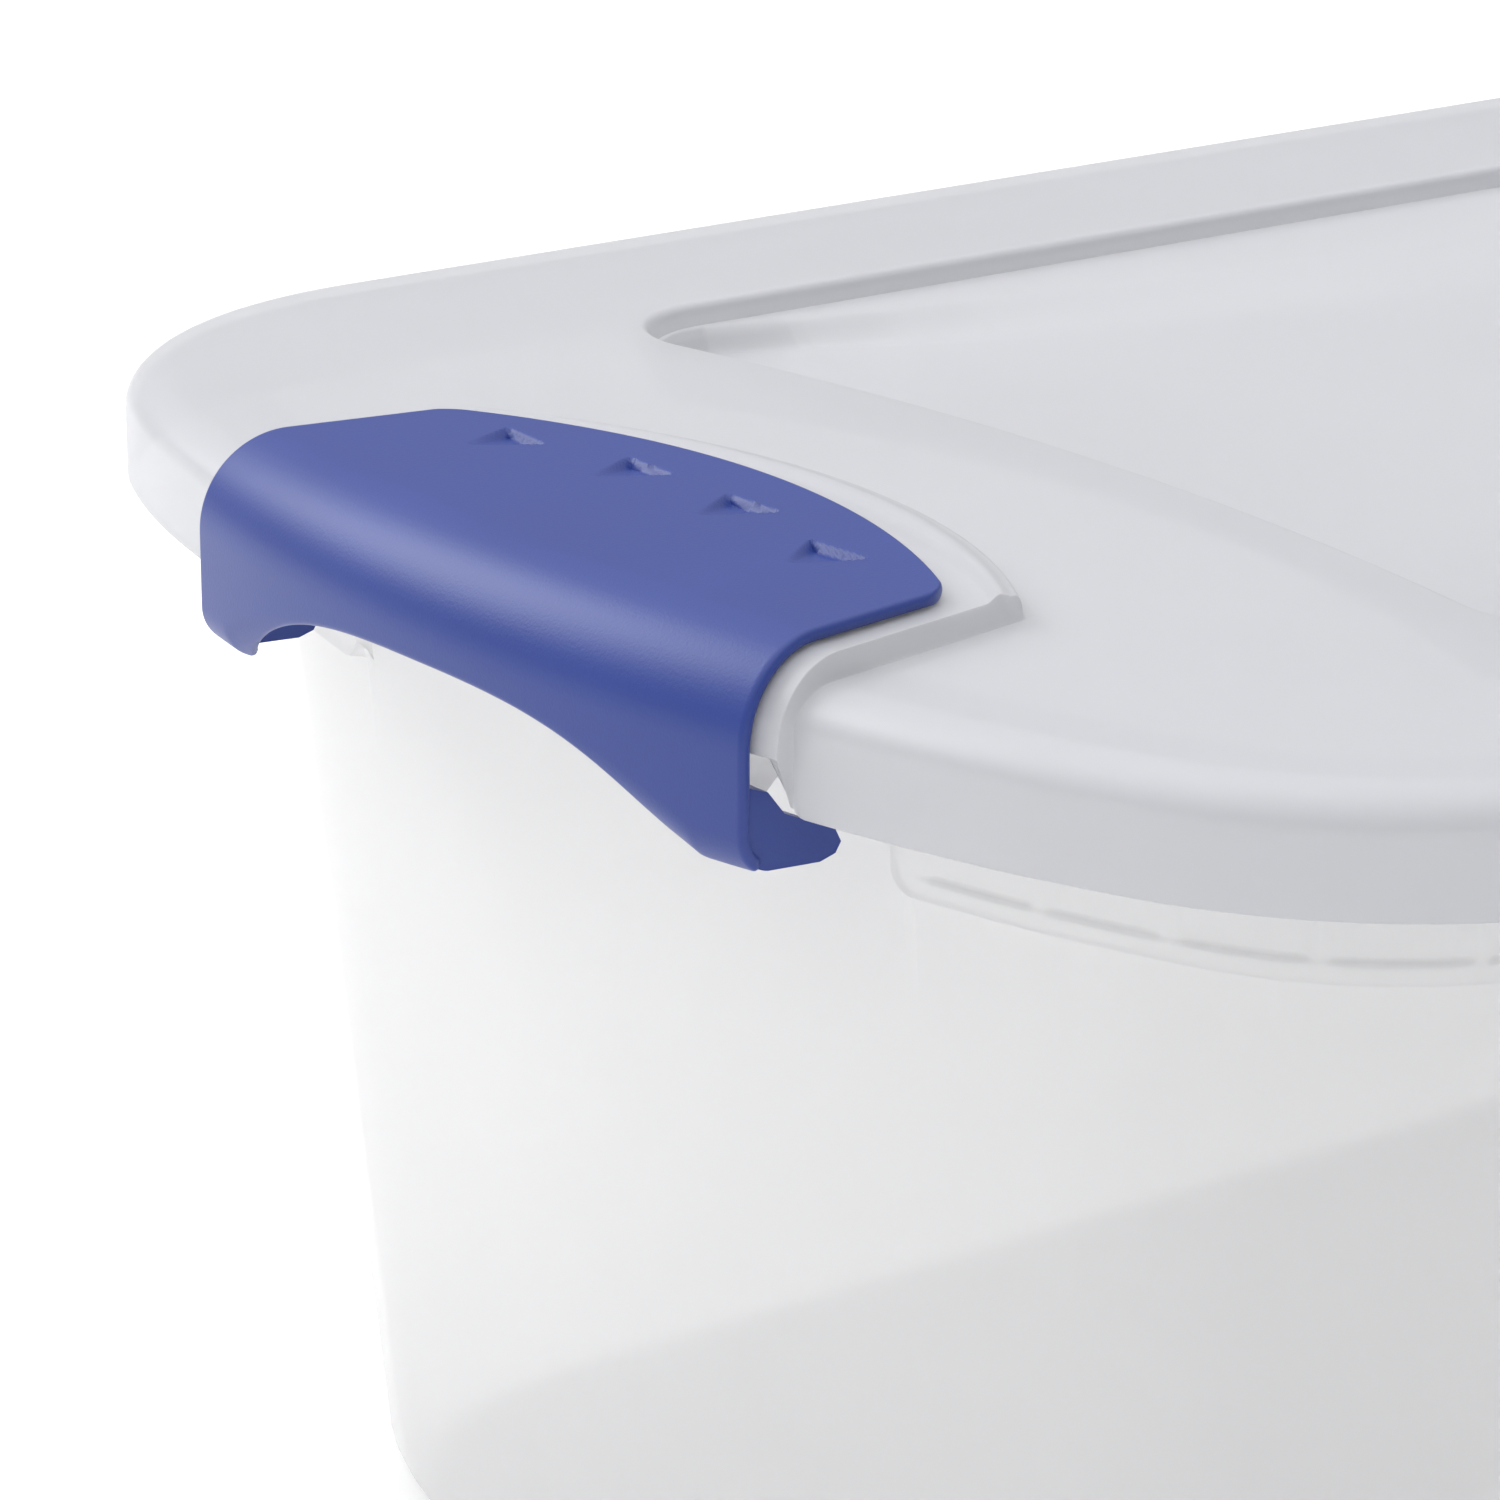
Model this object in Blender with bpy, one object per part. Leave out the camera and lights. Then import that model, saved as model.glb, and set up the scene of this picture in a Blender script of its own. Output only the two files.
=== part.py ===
"""Under-bed storage box: a tapered tub, a recessed lid and two end latches.

Metres, +Z up. The origin is the middle of the tub's underside, X is the length.
"End" measures are taken from the lid's skirt: inset runs inwards from the
skirt's outer outline, and heights are counted from the skirt's lower edge.
"""
import math

import bmesh
import bpy

# ---- overall sizes ---------------------------------------------------------
LID_LENGTH = 0.760
LID_WIDTH = 0.360
SKIRT_BASE = 0.186          # height of the lid skirt's lower edge over the floor

# ---- plan outline of the lid: bowed ends, soft shoulders, round corners -----
END_RADIUS = 0.412
END_ANGLE = math.radians(13.9)
SHOULDER_RADIUS = 0.223
SHOULDER_ANGLE = math.radians(23.4)
END_STEPS = 10
SHOULDER_STEPS = 3
CORNER_STEPS = 8
SIDE_STEPS = 4

# ---- lid -------------------------------------------------------------------
LID_WALL = 0.0018
LID_HEIGHT = 0.0185         # skirt's lower edge to the flat rim
SKIRT_STRAIGHT = 0.0120     # height at which the skirt starts to round over
ROUND_RUN = 0.0085
ROUND_STEPS = 4
RECESS_END = 0.125          # recess edge behind the skirt's end, on the axis
RECESS_BOW = 0.545
RECESS_SIDE = 0.0567        # recess edge in from the long sides
RECESS_CORNER = 0.020
RECESS_DEPTH = 0.0090
LEDGE_DROP = 0.0040
LEDGE_BOW = 0.026           # how far the ledge's edge bows in at mid length
FLOOR_BOW = 0.0556          # how far the floor's edge bows in at mid length
RECESS_DRAFT = 0.0012

# ---- latch seat raised on the lid -------------------------------------------
SEAT_TOP = 0.0225
SEAT_PROUD = 0.0030         # how far the seat stands out of the skirt
SEAT_FOOT = 0.0090          # height of the seat's lower front edge
SEAT_BEND = 0.0130
SEAT_HALF_ANGLE = math.radians(10.8)
SEAT_BACK_RADIUS = 0.130
SEAT_BACK = 0.076           # inset of the seat's back edge on the axis
NOTCH_HALF_ANGLE = math.radians(10.9)
BEND_STEPS = 6
ARC_STEPS = 16

# ---- latch -------------------------------------------------------------------
LATCH_WALL = 0.0022
LATCH_HALF_ANGLE = math.radians(10.2)
LATCH_BACK = 0.060
LATCH_BACK_RADIUS = 0.145
LATCH_GAP_END = 0.00045     # clearance over the seat at the latch's ends
LATCH_GAP_CROWN = 0.00085   # extra clearance on the axis, so the latch can swing
PIVOT_INSET = 0.0058        # hinge axis behind the skirt's end, on the axis
PIVOT_DROP = 0.0030         # hinge axis below the skirt's lower edge
PIN_RADIUS = 0.0015
PIN_CLEARANCE = 0.0001
LIP_ARCH = 0.0085           # where the front face starts to curl, on the axis
LIP_RADIUS = 0.0090
LIP_RADIUS_END = 0.0066
LIP_CURL = math.radians(12)
LIP_CURL_END = math.radians(82)
LIP_STEPS = 5
EAR_WALL = 0.0056
EAR_LAP = 0.0006            # how far the ear sinks into the front face
EAR_TOP = 0.0045            # height at which the ear leaves the front face
EAR_CURL_START = math.radians(18)
EAR_CURL_END = math.radians(80)
EAR_TOE = 0.0138            # reach of the ear's rounded toe behind the hinge axis
EAR_TOE_DROP = 0.0042
EAR_TRIM = 0.0008           # ear's outer face in from the latch's end
EAR_GAP = 0.0005
PIN_LENGTH = 0.0034
GRIP_MARKS = 4
GRIP_DEPTH = 0.0011
GRIP_SPREAD = math.radians(6.4)
GRIP_BACK = 0.0175          # marks in front of the latch's back edge, on the axis
GRIP_SWEEP = 0.0075         # how much further forward the outer marks are
GRIP_HALF_WIDTH = 0.0066
GRIP_REACH = 0.0115

# ---- tub ---------------------------------------------------------------------
TUB_WALL = 0.0018
TUB_DRAFT = 0.0916
TUB_INSET = 0.0255          # tub wall in from the skirt at the collar's lower edge
TUB_BOTTOM_RADIUS = 0.010
TUB_CORNER_TOP = 0.0505
COLLAR_DROP = 0.0175
COLLAR_PROUD = 0.0030
LID_REST_GAP = 0.0004
RIM_WALL = 0.0018
RIM_EDGE_GAP = 0.0015       # rim's edge to the inside of the skirt
RIM_ROUND_GAP = 0.0009      # rim's rounded edge to the lid's rounding
COLLAR_CUT_ANGLE = math.radians(10.6)
RIM_SHOULDER = 0.0045       # width of the slope from the rim's edge to its flat top
COLLAR_CUT_OUT = 0.0120     # how far the collar's cut reaches outwards
HANGER_WIDTH = 0.0048
HANGER_WEB = 0.0080         # depth of the hanger's root along the tub's wall
HANGER_NECK = 0.0095        # hanger's neck behind the hinge axis, and its drop
KNUCKLE_RADIUS = 0.0029
KNUCKLE_START = math.radians(38)
KNUCKLE_TURN = math.radians(206)
KNUCKLE_STEPS = 8

HALF_LENGTH = LID_LENGTH / 2
HALF_WIDTH = LID_WIDTH / 2
RIM_TOP = LID_HEIGHT - LID_WALL - LID_REST_GAP
LATCH_END = (END_RADIUS + SEAT_PROUD) * math.sin(LATCH_HALF_ANGLE)
EAR_INNER = LATCH_END - EAR_WALL
HANGER_OUTER = EAR_INNER - EAR_GAP
HANGER_INNER = HANGER_OUTER - HANGER_WIDTH


def clear_scene():
    for obj in list(bpy.data.objects):
        bpy.data.objects.remove(obj, do_unlink=True)


def quarter_arcs(inset, corner=None):
    """Arcs of a quarter outline as (radius, start, end, steps), for an offset or a set corner."""
    r1 = END_RADIUS - inset
    half = HALF_WIDTH - inset
    sa = math.sin(END_ANGLE)
    sb = math.sin(SHOULDER_ANGLE)
    if corner is None:
        r2 = SHOULDER_RADIUS - inset
        r3 = (half - r1 * sa - r2 * (sb - sa)) / (1 - sb)
    else:
        r3 = corner
        r2 = (half - r3 * (1 - sb) - r1 * sa) / (sb - sa)
    return (
        (r1, 0.0, END_ANGLE, END_STEPS),
        (r2, END_ANGLE, SHOULDER_ANGLE, SHOULDER_STEPS),
        (r3, SHOULDER_ANGLE, math.pi / 2, CORNER_STEPS),
    )


def close_quarter(quarter):
    """Mirrors a quarter, (u, v) from the end's middle to mid length, into a closed (x, y) loop."""
    left = [(v - HALF_LENGTH, -u) for u, v in quarter]
    loop = left[:-1]
    loop += [(-x, y) for x, y in reversed(left)][:-1]
    loop += [(-x, -y) for x, y in left][:-1]
    loop += [(x, -y) for x, y in reversed(left)][:-1]
    return loop


def outline(inset, corner=None):
    """Closed outline at this inset from the skirt's."""
    u = 0.0
    v = inset
    quarter = [(u, v)]
    for radius, start, end, steps in quarter_arcs(inset, corner):
        u0 = u - radius * math.sin(start)
        v0 = v + radius * math.cos(start)
        for k in range(1, steps + 1):
            a = start + (end - start) * k / steps
            quarter.append((u0 + radius * math.sin(a), v0 - radius * math.cos(a)))
        u, v = quarter[-1]
    for k in range(1, SIDE_STEPS + 1):
        quarter.append((u, v + (HALF_LENGTH - v) * k / SIDE_STEPS))
    return close_quarter(quarter)


def recess_outline(step_in, side_bow=0.0):
    """Closed outline of the lid's recess, offset inwards by step_in, its sides bowed in by side_bow."""
    radius = RECESS_BOW + step_in
    corner = RECESS_CORNER - step_in
    half = HALF_WIDTH - RECESS_SIDE - step_in
    apex = RECESS_END + step_in
    u_c = (half - corner) / (1 + corner / radius)
    tilt = math.asin(u_c / radius)
    quarter = []
    end_steps = END_STEPS + SHOULDER_STEPS
    for k in range(end_steps + 1):
        a = tilt * k / end_steps
        quarter.append((radius * math.sin(a), apex - radius * (1 - math.cos(a))))
    cu = quarter[-1][0] + corner * math.sin(tilt)
    cv = quarter[-1][1] + corner * math.cos(tilt)
    for k in range(1, CORNER_STEPS + 1):
        a = -tilt + (math.pi / 2 + tilt) * k / CORNER_STEPS
        quarter.append((cu + corner * math.sin(a), cv - corner * math.cos(a)))
    v_s = quarter[-1][1]
    for k in range(1, SIDE_STEPS + 1):
        t = k / SIDE_STEPS
        bow = side_bow * (1 - (1 - t) ** 2)
        quarter.append((half - bow, v_s + (HALF_LENGTH - v_s) * t))
    return close_quarter(quarter)


def at_height(loop, height):
    return [(x, y, SKIRT_BASE + height) for x, y in loop]


def end_point(theta, inset, height, side):
    """World point at an angle round the end's centre of curvature. side is -1 for the -X end."""
    radius = END_RADIUS - inset
    u = radius * math.sin(theta)
    v = END_RADIUS - radius * math.cos(theta)
    return straight_point(u, v, height, side)


def straight_point(u, v, height, side):
    x = v - HALF_LENGTH
    return (-side * x, side * u, SKIRT_BASE + height)


def skin(bm, rings):
    """Joins rings of equal length with quads and closes both ends with flat caps."""
    rows = [[bm.verts.new(p) for p in ring] for ring in rings]
    n = len(rows[0])
    for a, b in zip(rows, rows[1:]):
        for i in range(n):
            j = (i + 1) % n
            bm.faces.new((a[i], a[j], b[j], b[i]))
    bm.faces.new(rows[0])
    bm.faces.new(rows[-1])


def new_object(name, bm, material=None, origin=(0.0, 0.0, 0.0)):
    bmesh.ops.recalc_face_normals(bm, faces=bm.faces)
    bmesh.ops.translate(bm, verts=bm.verts, vec=[-c for c in origin])
    mesh = bpy.data.meshes.new(name)
    bm.to_mesh(mesh)
    bm.free()
    obj = bpy.data.objects.new(name, mesh)
    obj.location = origin
    bpy.context.scene.collection.objects.link(obj)
    if material is not None:
        mesh.materials.append(material)
        mesh.shade_smooth()
        mesh.set_sharp_from_angle(angle=math.radians(30))
    return obj


def helper(name, bodies, origin=(0.0, 0.0, 0.0)):
    """A hidden cutter or filler made of several separate closed bodies."""
    bm = bmesh.new()
    for rings in bodies:
        skin(bm, rings)
    obj = new_object(name, bm, origin=origin)
    obj.hide_render = True
    obj.display_type = "WIRE"
    return obj


def boolean(target, tool, operation):
    mod = target.modifiers.new(operation.title() + " " + tool.name, "BOOLEAN")
    mod.operation = operation
    mod.object = tool
    mod.solver = "EXACT"


def plastic(name, colour, roughness, alpha=1.0, transmission=0.0):
    mat = bpy.data.materials.new(name)
    mat.use_nodes = True
    shader = mat.node_tree.nodes["Principled BSDF"]
    shader.inputs["Base Color"].default_value = (*colour, 1.0)
    shader.inputs["Roughness"].default_value = roughness
    shader.inputs["Metallic"].default_value = 0.0
    shader.inputs["Alpha"].default_value = alpha
    shader.inputs["Transmission Weight"].default_value = transmission
    mat.diffuse_color = (*colour, alpha)
    return mat


def angles(half, steps):
    return [-half + 2 * half * k / steps for k in range(steps + 1)]


def arc_body(half, steps, section, side):
    """Sweeps a section, a function of the angle giving (inset, height) points, round the end."""
    return [[end_point(t, i, h, side) for i, h in section(t)] for t in angles(half, steps)]


def back_edge(theta, back, radius):
    """Inset at which a round back edge, centred on the end's axis, is met at this angle."""
    centre = back - radius
    d = END_RADIUS - centre
    reach = d * math.cos(theta) - math.sqrt(radius ** 2 - (d * math.sin(theta)) ** 2)
    return END_RADIUS - reach


def bend(radius, grow):
    """Outer-top bend of the seat, grown outwards: from the flat top to the front face."""
    ci = SEAT_BEND - SEAT_PROUD
    ch = SEAT_TOP - SEAT_BEND
    r = radius + grow
    pts = []
    for k in range(BEND_STEPS + 1):
        a = math.pi / 2 * k / BEND_STEPS
        pts.append((ci - r * math.sin(a), ch + r * math.cos(a)))
    return pts


# ---- lid ---------------------------------------------------------------------
def lid_profile(offset):
    """Outer part of the lid's section, from the skirt's edge to the flat rim."""
    pts = [(offset, 0.0), (offset, SKIRT_STRAIGHT)]
    run = ROUND_RUN - offset
    rise = LID_HEIGHT - offset - SKIRT_STRAIGHT
    for k in range(1, ROUND_STEPS + 1):
        a = math.pi / 2 * k / ROUND_STEPS
        pts.append((offset + run * (1 - math.cos(a)), SKIRT_STRAIGHT + rise * math.sin(a)))
    return pts


def recess_rings(drop):
    """Recess rings from its edge to its floor. drop is the wall for the underside, 0 on top."""
    top = LID_HEIGHT - drop
    floor = LID_HEIGHT - RECESS_DEPTH - drop
    ledge = LID_HEIGHT - LEDGE_DROP - drop
    grow = -drop
    d = RECESS_DRAFT
    return [
        at_height(recess_outline(grow), top),
        at_height(recess_outline(grow + d, 0.0), ledge),
        at_height(recess_outline(grow + 1.5 * d, LEDGE_BOW), ledge - 0.0010),
        at_height(recess_outline(grow + 2.5 * d, FLOOR_BOW), floor),
    ]


def seat_section(theta):
    back = back_edge(theta, SEAT_BACK, SEAT_BACK_RADIUS)
    middle = lid_profile(LID_WALL / 2)[1:]
    front = [(LID_WALL / 2, SEAT_FOOT), (-SEAT_PROUD, SEAT_FOOT)]
    top = bend(SEAT_BEND, 0.0)[::-1]
    return front + top + [(back, SEAT_TOP), (back, LID_HEIGHT - LID_WALL / 2)] + middle[::-1]


def seat_hollow(theta):
    back = back_edge(theta, SEAT_BACK, SEAT_BACK_RADIUS) - LID_WALL
    top = bend(SEAT_BEND, -LID_WALL)[::-1]
    low = SEAT_FOOT - LID_WALL
    return [(LID_WALL - SEAT_PROUD, low)] + top + [(back, SEAT_TOP - LID_WALL), (back, low)]


def notch_section(_theta):
    out = -SEAT_PROUD - 0.004
    return [(out, -0.001), (2 * LID_WALL, -0.001), (2 * LID_WALL, SEAT_FOOT), (out, SEAT_FOOT)]


def make_lid(material):
    top = [at_height(outline(i), h) for i, h in lid_profile(0.0)] + recess_rings(0.0)
    under = [at_height(outline(i), h) for i, h in lid_profile(LID_WALL)] + recess_rings(LID_WALL)
    bm = bmesh.new()
    skin(bm, top[::-1] + under)
    lid = new_object("lid", bm, material)
    sides = (-1, 1)
    seats = [arc_body(SEAT_HALF_ANGLE, ARC_STEPS, seat_section, s) for s in sides]
    wall_angle = LID_WALL / END_RADIUS
    inner = SEAT_HALF_ANGLE - wall_angle
    hollows = [arc_body(inner, ARC_STEPS, seat_hollow, s) for s in sides]
    notches = [arc_body(NOTCH_HALF_ANGLE, ARC_STEPS, notch_section, s) for s in sides]
    boolean(lid, helper("seat_blocks", seats), "UNION")
    boolean(lid, helper("seat_hollows", hollows), "DIFFERENCE")
    boolean(lid, helper("skirt_notches", notches), "DIFFERENCE")
    return lid


# ---- tub ---------------------------------------------------------------------
def wall_inset(height):
    return TUB_INSET + TUB_DRAFT * (-COLLAR_DROP - height)


def tub_ring(inset, height, wall=0.0):
    corner = TUB_CORNER_TOP - wall if height < -COLLAR_DROP / 2 else None
    return at_height(outline(inset, corner), height)


def rim_edge_inset():
    return LID_WALL + RIM_EDGE_GAP


def rim_edge_top():
    """Height of the rim's outer edge, which follows the inside of the lid's rounding."""
    run = ROUND_RUN - LID_WALL
    rise = LID_HEIGHT - LID_WALL - SKIRT_STRAIGHT
    along = 1 - (rim_edge_inset() - LID_WALL) / run
    return SKIRT_STRAIGHT + rise * math.sqrt(1 - along ** 2) - RIM_ROUND_GAP


def make_tub(material):
    floor = -SKIRT_BASE
    r = TUB_BOTTOM_RADIUS
    rings = []
    foot = floor + r
    base = wall_inset(foot)
    for k in range(4):
        a = math.pi / 2 * k / 3
        rings.append(tub_ring(base + r * (1 - math.sin(a)), foot - r * math.cos(a)))
    rings.append(tub_ring(TUB_INSET, -COLLAR_DROP))
    collar = TUB_INSET - COLLAR_PROUD
    edge = rim_edge_inset()
    shoulder = edge + RIM_SHOULDER
    rings.append(tub_ring(collar, -COLLAR_DROP))
    rings.append(tub_ring(collar, RIM_TOP - RIM_WALL))
    rings.append(tub_ring(shoulder, RIM_TOP - RIM_WALL))
    rings.append(tub_ring(edge, rim_edge_top() - RIM_WALL))
    rings.append(tub_ring(edge, rim_edge_top()))
    rings.append(tub_ring(shoulder, RIM_TOP))
    lean = TUB_DRAFT * (RIM_TOP + COLLAR_DROP)
    rings.append(tub_ring(TUB_INSET + TUB_WALL - lean, RIM_TOP))
    rings.append(tub_ring(TUB_INSET + TUB_WALL, -COLLAR_DROP, TUB_WALL))
    inner = base + TUB_WALL
    ri = r - TUB_WALL
    for k in range(4):
        a = math.pi / 2 * (3 - k) / 3
        height = foot - ri * math.cos(a)
        rings.append(tub_ring(inner + ri * (1 - math.sin(a)), height, TUB_WALL))
    bm = bmesh.new()
    skin(bm, rings)
    tub = new_object("tub", bm, material)
    sides = (-1, 1)

    def gap_section(_theta):
        low = -COLLAR_DROP - 0.001
        high = RIM_TOP - RIM_WALL
        return [
            (TUB_INSET - COLLAR_CUT_OUT, low),
            (TUB_INSET - TUB_DRAFT * (low + COLLAR_DROP), low),
            (TUB_INSET - TUB_DRAFT * (high + COLLAR_DROP), high),
            (TUB_INSET - COLLAR_CUT_OUT, high),
        ]

    gaps = [arc_body(COLLAR_CUT_ANGLE, ARC_STEPS, gap_section, s) for s in sides]
    boolean(tub, helper("collar_gaps", gaps), "DIFFERENCE")
    hangers = []
    sockets = []
    for s in sides:
        for hand in (-1, 1):
            hangers.append(hanger_rings(hand, s))
            start = HANGER_OUTER + 0.0005
            stop = HANGER_OUTER - PIN_LENGTH - EAR_GAP
            sockets.append(rod(hand * start, hand * stop, PIN_RADIUS + PIN_CLEARANCE, s, 20))
    boolean(tub, helper("hangers", hangers), "UNION")
    boolean(tub, helper("pin_sockets", sockets), "DIFFERENCE")
    return tub


def bow(u):
    """How far the skirt's outline has drawn back at this distance from the axis."""
    return END_RADIUS - math.sqrt(END_RADIUS ** 2 - u ** 2)


def hanger_rings(hand, side):
    """A plate that hangs from the rim to the hinge axis, with a round knuckle."""
    back = bow(HANGER_OUTER)
    edge = back + rim_edge_inset()
    pv = PIVOT_INSET
    ph = -PIVOT_DROP
    top = RIM_TOP - RIM_WALL / 2
    wall = back + wall_inset(top) + TUB_WALL / 2
    low = rim_edge_top() - RIM_WALL / 2
    pts = [(edge + 0.0008, low + 0.0004), (edge + RIM_SHOULDER + 0.0010, top), (wall, top)]
    pts += [(wall, top - HANGER_WEB), (pv + HANGER_NECK, top - HANGER_NECK)]
    for k in range(KNUCKLE_STEPS + 1):
        a = KNUCKLE_START - KNUCKLE_TURN * k / KNUCKLE_STEPS
        pts.append((pv + KNUCKLE_RADIUS * math.cos(a), ph + KNUCKLE_RADIUS * math.sin(a)))
    return [
        [straight_point(hand * u, v, h, side) for v, h in pts]
        for u in (HANGER_INNER, HANGER_OUTER)
    ]


def rod(start, stop, radius, side, sides):
    """Closed cylinder along the hinge axis."""
    rings = []
    for u in (start, stop):
        ring = []
        for k in range(sides):
            a = 2 * math.pi * k / sides
            v = PIVOT_INSET + radius * math.cos(a)
            h = -PIVOT_DROP + radius * math.sin(a)
            ring.append(straight_point(u, v, h, side))
        rings.append(ring)
    return rings


# ---- latch -------------------------------------------------------------------
def latch_gap(u):
    t = min(1.0, abs(u) / LATCH_END)
    return LATCH_GAP_END + LATCH_GAP_CROWN * (1 - t * t)


def droop(u):
    """0 in the arched middle of the lower lip, rising smoothly to 1 where the hangers start."""
    t = min(1.0, abs(u) / HANGER_INNER)
    return t ** 2.5


def latch_section(theta):
    u = END_RADIUS * math.sin(theta)
    gap = latch_gap(u)
    back = back_edge(theta, LATCH_BACK, LATCH_BACK_RADIUS)
    d = droop(u)
    start = LIP_ARCH * (1 - d) - PIVOT_DROP * d
    curl = LIP_CURL + (LIP_CURL_END - LIP_CURL) * d * d
    radius = LIP_RADIUS * (1 - d) + LIP_RADIUS_END * d
    sides = []
    for grow in (gap + LATCH_WALL, gap):
        pts = [(back, SEAT_TOP + grow)] + bend(SEAT_BEND, grow)
        face = -SEAT_PROUD - grow
        r = radius if grow > gap else radius - LATCH_WALL
        for k in range(LIP_STEPS + 1):
            a = curl * k / LIP_STEPS
            pts.append((face + r * (1 - math.cos(a)), start - r * math.sin(a)))
        sides.append(pts)
    return sides[0] + list(reversed(sides[1]))


def ear_rings(hand, side):
    """A solid end cheek that joins the front face, the curl and the hinge pin."""
    back = bow(LATCH_END)
    face = back - SEAT_PROUD - LATCH_GAP_END - LATCH_WALL
    pv = PIVOT_INSET
    ph = -PIVOT_DROP
    r = LIP_RADIUS_END - 0.0004
    cv = face + LIP_RADIUS_END
    pts = [(face + EAR_LAP, EAR_TOP), (face + EAR_LAP, 0.0)]
    for k in range(LIP_STEPS):
        a = EAR_CURL_START + (EAR_CURL_END - EAR_CURL_START) * k / (LIP_STEPS - 1)
        pts.append((cv - r * math.cos(a), ph - r * math.sin(a)))
    toe = pv + EAR_TOE
    drop = ph - EAR_TOE_DROP
    pts += [(toe - 0.0038, drop - 0.0024), (toe - 0.0010, drop - 0.0016), (toe, drop)]
    pts += [(toe - 0.0010, drop + 0.0020), (pv + 0.0036, ph + 0.0020), (pv + 0.0006, ph + 0.0058)]
    return [
        [straight_point(hand * u, v, h, side) for v, h in pts]
        for u in (EAR_INNER, LATCH_END - EAR_TRIM)
    ]


def grip_rings(theta, inset, side):
    """Wedge-shaped grip mark: a triangle that points outwards and deepens inwards."""
    top = SEAT_TOP + LATCH_GAP_END + LATCH_GAP_CROWN + LATCH_WALL
    over = top + 0.001
    u0 = (END_RADIUS - inset) * math.sin(theta)
    v0 = END_RADIUS - (END_RADIUS - inset) * math.cos(theta)
    half, reach = GRIP_HALF_WIDTH, GRIP_REACH / 2
    plan = [(u0 - half, v0 + reach), (u0 + half, v0 + reach), (u0, v0 - reach)]
    surface = SEAT_TOP + latch_gap(u0) + LATCH_WALL
    depths = (surface - GRIP_DEPTH, surface - GRIP_DEPTH, surface + 0.0002)
    low = [straight_point(u, v, h, side) for (u, v), h in zip(plan, depths)]
    high = [straight_point(u, v, over, side) for u, v in plan]
    return [low, high]


def make_latch(name, side, material):
    origin = straight_point(0.0, PIVOT_INSET, -PIVOT_DROP, side)
    bm = bmesh.new()
    skin(bm, arc_body(LATCH_HALF_ANGLE, ARC_STEPS, latch_section, side))
    latch = new_object(name, bm, material, origin)
    extras = []
    pins = []
    for hand in (-1, 1):
        extras.append(ear_rings(hand, side))
        tip = HANGER_OUTER - PIN_LENGTH
        pins.append(rod(hand * (EAR_INNER + 0.001), hand * tip, PIN_RADIUS, side, 16))
    ears = helper(name + "_ears", extras, origin)
    posts = helper(name + "_pins", pins, origin)
    marks = []
    for k in range(GRIP_MARKS):
        t = 2 * k / (GRIP_MARKS - 1) - 1
        inset = LATCH_BACK - GRIP_BACK - GRIP_SWEEP * t * t
        marks.append(grip_rings(GRIP_SPREAD * t, inset, side))
    grips = helper(name + "_grips", marks, origin)
    boolean(latch, ears, "UNION")
    boolean(latch, posts, "UNION")
    boolean(latch, grips, "DIFFERENCE")
    return latch


def main():
    clear_scene()
    frosted = plastic("frosted_polypropylene", (0.80, 0.80, 0.82), 0.35, 0.6, 0.3)
    clear = plastic("clear_polypropylene", (0.86, 0.86, 0.88), 0.25, 0.45, 0.4)
    blue = plastic("blue_polypropylene", (0.068, 0.102, 0.342), 0.42)
    make_tub(clear)
    make_lid(frosted)
    make_latch("latch_left", -1, blue)
    make_latch("latch_right", 1, blue)


main()
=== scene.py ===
"""Under-bed storage box: the smooth surfaces, finishes and stage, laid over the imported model."""
import math

import bmesh
import bpy
import numpy as np
from bpy.props import FloatProperty, FloatVectorProperty, PointerProperty
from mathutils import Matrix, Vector


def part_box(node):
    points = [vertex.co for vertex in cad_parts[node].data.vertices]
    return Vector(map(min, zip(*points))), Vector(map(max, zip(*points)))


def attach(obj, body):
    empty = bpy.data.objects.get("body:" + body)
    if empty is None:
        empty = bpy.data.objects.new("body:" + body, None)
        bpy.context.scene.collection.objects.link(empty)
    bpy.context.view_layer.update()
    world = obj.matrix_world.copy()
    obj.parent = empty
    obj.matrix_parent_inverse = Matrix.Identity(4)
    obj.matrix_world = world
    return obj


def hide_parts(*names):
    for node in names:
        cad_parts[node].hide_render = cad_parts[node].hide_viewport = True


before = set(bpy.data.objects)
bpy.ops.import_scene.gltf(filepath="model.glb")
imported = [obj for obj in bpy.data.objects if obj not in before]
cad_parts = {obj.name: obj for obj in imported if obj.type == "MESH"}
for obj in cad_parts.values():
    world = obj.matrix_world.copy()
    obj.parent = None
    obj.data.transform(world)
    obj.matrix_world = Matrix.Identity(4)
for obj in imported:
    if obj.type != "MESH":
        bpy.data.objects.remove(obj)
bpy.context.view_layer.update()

bl_info = {
    "name": "Under-bed Box",
    "version": (1, 0, 0),
    "blender": (4, 5, 0),
    "location": "3D View > Sidebar > Box",
    "description": "Builds a lidded under-bed storage box with two end latches",
    "category": "Add Mesh",
}

LID_LOW, LID_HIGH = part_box("lid")
SEAT_PROUD = 0.0030
SEAT_TOP = LID_HIGH.z - LID_LOW.z


def rgb(hex_colour):
    """Linear colour from an sRGB hex value such as '4353A4'."""
    parts = [int(hex_colour[k:k + 2], 16) / 255 for k in (0, 2, 4)]
    return [c / 12.92 if c <= 0.04045 else ((c + 0.055) / 1.055) ** 2.4 for c in parts]


def length_prop(name, description, default):
    return FloatProperty(
        name=name, description=description, default=default, unit="LENGTH", subtype="DISTANCE", precision=4
    )


def colour_prop(name, description, hex_colour):
    return FloatVectorProperty(
        name=name, description=description, default=rgb(hex_colour), subtype="COLOR", size=3, min=0.0, max=1.0
    )


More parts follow.
